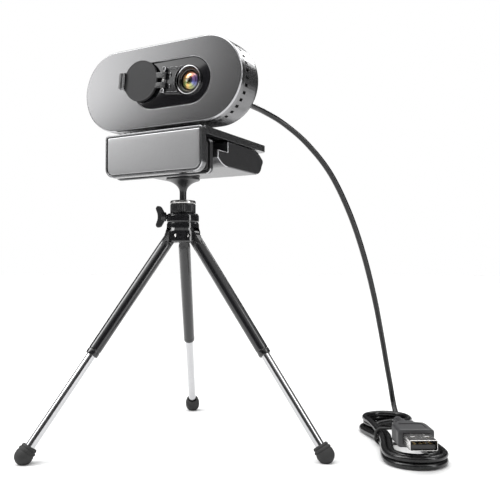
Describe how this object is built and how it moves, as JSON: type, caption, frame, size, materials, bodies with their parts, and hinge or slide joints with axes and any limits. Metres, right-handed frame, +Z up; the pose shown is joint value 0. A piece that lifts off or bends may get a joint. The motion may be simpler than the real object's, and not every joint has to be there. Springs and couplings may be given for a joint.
{
  "type": "webcam on tripod",
  "caption": "Stadium-shaped webcam with a swinging privacy cover and a folding monitor clip, screwed onto a mini tripod with telescoping legs; lead in a tied hank with a USB plug.",
  "frame": {"origin": "on the floor, below the middle of the object's box without its cord", "axes": "+Z up from the floor; the webcam looks along -Y; +X towards the right of someone facing the lens; one leg points along +X"},
  "size_m": [0.1776, 0.1819, 0.2008],
  "materials": {
    "satin_grey": "satin metallic lacquer",
    "window_black": "high gloss",
    "lens_metal": "turned",
    "lens_black": "matt",
    "lens_glass": "coated",
    "electronics_black": "matt",
    "board_green": "solder mask",
    "fasteners": "plain",
    "moulded_black": "fine grain",
    "gloss_black": "gloss",
    "cover_grey": "matt",
    "pad_rubber": "matt",
    "lacquered_tube": "gloss black",
    "chromed_tube": "polished",
    "cord_black": "satin",
    "plug_black": "matt",
    "plug_steel": "brushed"
  },
  "bodies": {
    "tripod": {"hub_body": "moulded_black", "socket_collar": "moulded_black", "leg_pin_1": "fasteners", "leg_pin_2": "fasteners", "leg_pin_3": "fasteners", "cord_lead": "cord_black", "cord_hank": "cord_black", "cord_tie": "pad_rubber", "plug_overmould": "plug_black", "plug_shell": "plug_steel", "plug_tongue": "plug_black"},
    "knob": {"lock_knob": "moulded_black"},
    "leg_1": {"leg_upper_1": "lacquered_tube"},
    "leg_end_1": {"leg_lower_1": "chromed_tube", "leg_foot_1": "pad_rubber"},
    "leg_2": {"leg_upper_2": "lacquered_tube"},
    "leg_end_2": {"leg_lower_2": "chromed_tube", "leg_foot_2": "pad_rubber"},
    "leg_3": {"leg_upper_3": "lacquered_tube"},
    "leg_end_3": {"leg_lower_3": "chromed_tube", "leg_foot_3": "pad_rubber"},
    "ball": {"ball_stud": "moulded_black", "platform_pad": "pad_rubber"},
    "arm": {"lower_arm": "satin_grey", "arm_pad": "pad_rubber", "tripod_insert": "fasteners", "foot_pin": "fasteners"},
    "foot": {"foot_panel": "satin_grey", "foot_pad": "pad_rubber"},
    "clip": {"upper_arm": "satin_grey", "lip_panel": "satin_grey", "lip_pad": "pad_rubber", "clip_pin": "fasteners", "clip_pin_cap": "fasteners"},
    "neck": {"neck_bracket": "moulded_black", "swivel_washer": "fasteners", "swivel_screw": "fasteners"},
    "head": {"front_cover": "satin_grey", "front_window": "window_black", "lens_ring": "lens_metal", "lens_barrel": "lens_black", "lens_front_element": "lens_glass", "lens_rear_element": "lens_glass", "lens_holder": "lens_black", "image_sensor": "electronics_black", "circuit_board": "board_green", "image_processor": "electronics_black", "status_light": "lens_glass", "microphone_left": "fasteners", "microphone_right": "fasteners", "rear_shell": "satin_grey", "housing_screw_left": "fasteners", "housing_screw_right": "fasteners", "cord_gland": "pad_rubber", "cover_bracket": "gloss_black", "tilt_pin": "fasteners"},
    "cover": {"privacy_cover": "cover_grey", "cover_pin": "fasteners"}
  },
  "joints": [
    {"name": "leg_fold_1", "type": "hinge", "parent": "tripod", "child": "leg_1", "pos_m": [-0.01162, 0, 0.106], "axis": [0, 1, 0], "range_deg": [0, 35.5]},
    {"name": "leg_slide_1", "type": "slide", "parent": "leg_1", "child": "leg_end_1", "axis": [-0.5807, 0, 0.8141], "range_m": [0, 0.045]},
    {"name": "leg_fold_2", "type": "hinge", "parent": "tripod", "child": "leg_2", "pos_m": [-0.02137, 0.00563, 0.106], "axis": [-0.866, -0.5, 0], "range_deg": [0, 35.5]},
    {"name": "leg_slide_2", "type": "slide", "parent": "leg_2", "child": "leg_end_2", "axis": [0.2904, -0.5029, 0.8141], "range_m": [0, 0.045]},
    {"name": "leg_fold_3", "type": "hinge", "parent": "tripod", "child": "leg_3", "pos_m": [-0.02137, -0.00563, 0.106], "axis": [0.866, -0.5, 0], "range_deg": [0, 35.5]},
    {"name": "leg_slide_3", "type": "slide", "parent": "leg_3", "child": "leg_end_3", "axis": [0.2904, 0.5029, 0.8141], "range_m": [0, 0.045]},
    {"name": "lock_knob_turn", "type": "hinge", "parent": "tripod", "child": "knob", "pos_m": [-0.01812, 0, 0.116], "axis": [-0.866, -0.5, 0], "range_deg": [0, 270]},
    {"name": "ball_tilt", "type": "hinge", "parent": "tripod", "child": "ball", "pos_m": [-0.01812, 0, 0.1195], "axis": [1, 0, 0], "range_deg": [-25, 25], "deforming": ["cord_lead"]},
    {"name": "mount_turn", "type": "hinge", "parent": "ball", "child": "arm", "pos_m": [-0.01812, 0, 0.1394], "axis": [0, 0, 1], "range_deg": [-180, 180], "deforming": ["cord_lead"]},
    {"name": "foot_pivot", "type": "hinge", "parent": "arm", "child": "foot", "pos_m": [-0.01812, -0.0146, 0.143], "axis": [1, 0, 0], "range_deg": [-12, 12]},
    {"name": "clip_open", "type": "hinge", "parent": "arm", "child": "clip", "pos_m": [-0.01812, 0.0315, 0.149], "axis": [-1, 0, 0], "range_deg": [0, 90], "deforming": ["cord_lead"]},
    {"name": "neck_swivel", "type": "hinge", "parent": "clip", "child": "neck", "pos_m": [-0.01812, -0.0085, 0.1564], "axis": [0, 0, 1], "range_deg": [-90, 90], "deforming": ["cord_lead"]},
    {"name": "head_tilt", "type": "hinge", "parent": "neck", "child": "head", "pos_m": [-0.01812, -0.0085, 0.1642], "axis": [-1, 0, 0], "range_deg": [-11, 25], "deforming": ["cord_lead"]},
    {"name": "privacy_cover", "type": "hinge", "parent": "head", "child": "cover", "pos_m": [-0.01394, -0.02325, 0.18148], "axis": [0.1045, 0, 0.9945], "range_deg": [0, 180]}
  ]
}
